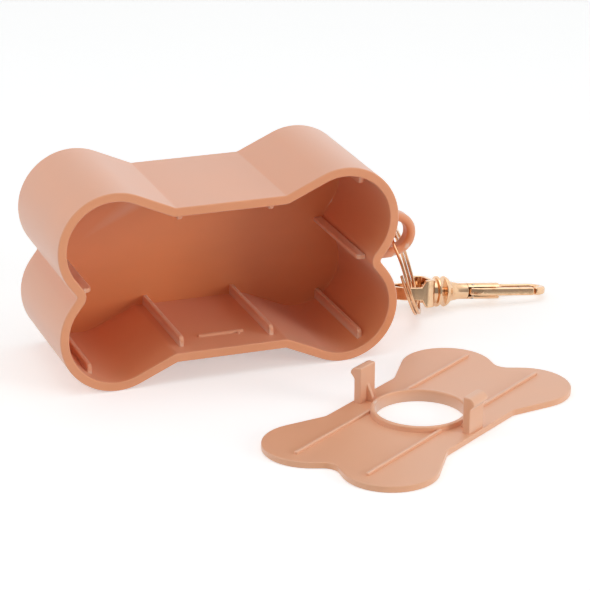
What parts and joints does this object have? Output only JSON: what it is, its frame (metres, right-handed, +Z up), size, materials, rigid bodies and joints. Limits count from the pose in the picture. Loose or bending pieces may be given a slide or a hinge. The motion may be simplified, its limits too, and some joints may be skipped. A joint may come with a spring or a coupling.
{
  "type": "dog poop bag dispenser",
  "caption": "Hollow lobed case for a roll of dog waste bags, with a snap-in lid that has a round outlet, a split ring and a swivel snap hook.",
  "frame": {"origin": "Centre of the case's flat back face, on the case's two planes of symmetry.", "axes": "+Y out of the back face, +X towards the lug, ring and snap hook, +Z up; the case stands on its two lower lobes and the lid lies on the table in front of the mouth."},
  "size_m": [0.1412, 0.1164, 0.0512],
  "materials": {
    "case_plastic": "satin metallic copper",
    "lid_plastic": "satin metallic copper",
    "ring_plating": "polished rose gold plating",
    "clip_plating": "polished rose gold plating",
    "gate_plating": "polished rose gold plating",
    "pin_steel": "ground",
    "spring_steel": "bright"
  },
  "bodies": {
    "case": {"case": "case_plastic"},
    "lid": {"lid": "lid_plastic"},
    "ring": {"split_ring": "ring_plating"},
    "eye": {"swivel_eye": "clip_plating"},
    "hook": {"hook_body": "clip_plating", "gate_pin": "pin_steel", "gate_spring": "spring_steel"},
    "gate": {"gate": "gate_plating"}
  },
  "joints": [
    {"name": "lid_tilt", "type": "hinge", "parent": "case", "child": "lid", "pos_m": [0.02077, -0.06015, -0.0256], "axis": [-0.8261, -0.5635, 0], "range_deg": [0, 90]},
    {"name": "ring_swing", "type": "hinge", "parent": "case", "child": "ring", "pos_m": [0.0502, -0.0192, 0], "axis": [0, -1, 0], "range_deg": [0, 75]},
    {"name": "eye_swing", "type": "hinge", "parent": "ring", "child": "eye", "pos_m": [0.0591, -0.01164, -0.0191], "axis": [-0.2707, -0.9281, -0.2555], "range_deg": [0, 60]},
    {"name": "hook_swivel", "type": "hinge", "parent": "eye", "child": "hook", "pos_m": [0.06695, -0.0124, -0.02077], "axis": [0.9938, -0.0695, -0.0872], "continuous": true},
    {"name": "gate_open", "type": "hinge", "parent": "hook", "child": "gate", "pos_m": [0.07568, -0.01389, -0.02135], "axis": [0.0995, 0.2015, 0.9744], "range_deg": [0, 12], "stiffness_Nm_per_rad": 0.02, "deforming": ["gate_spring"]}
  ]
}
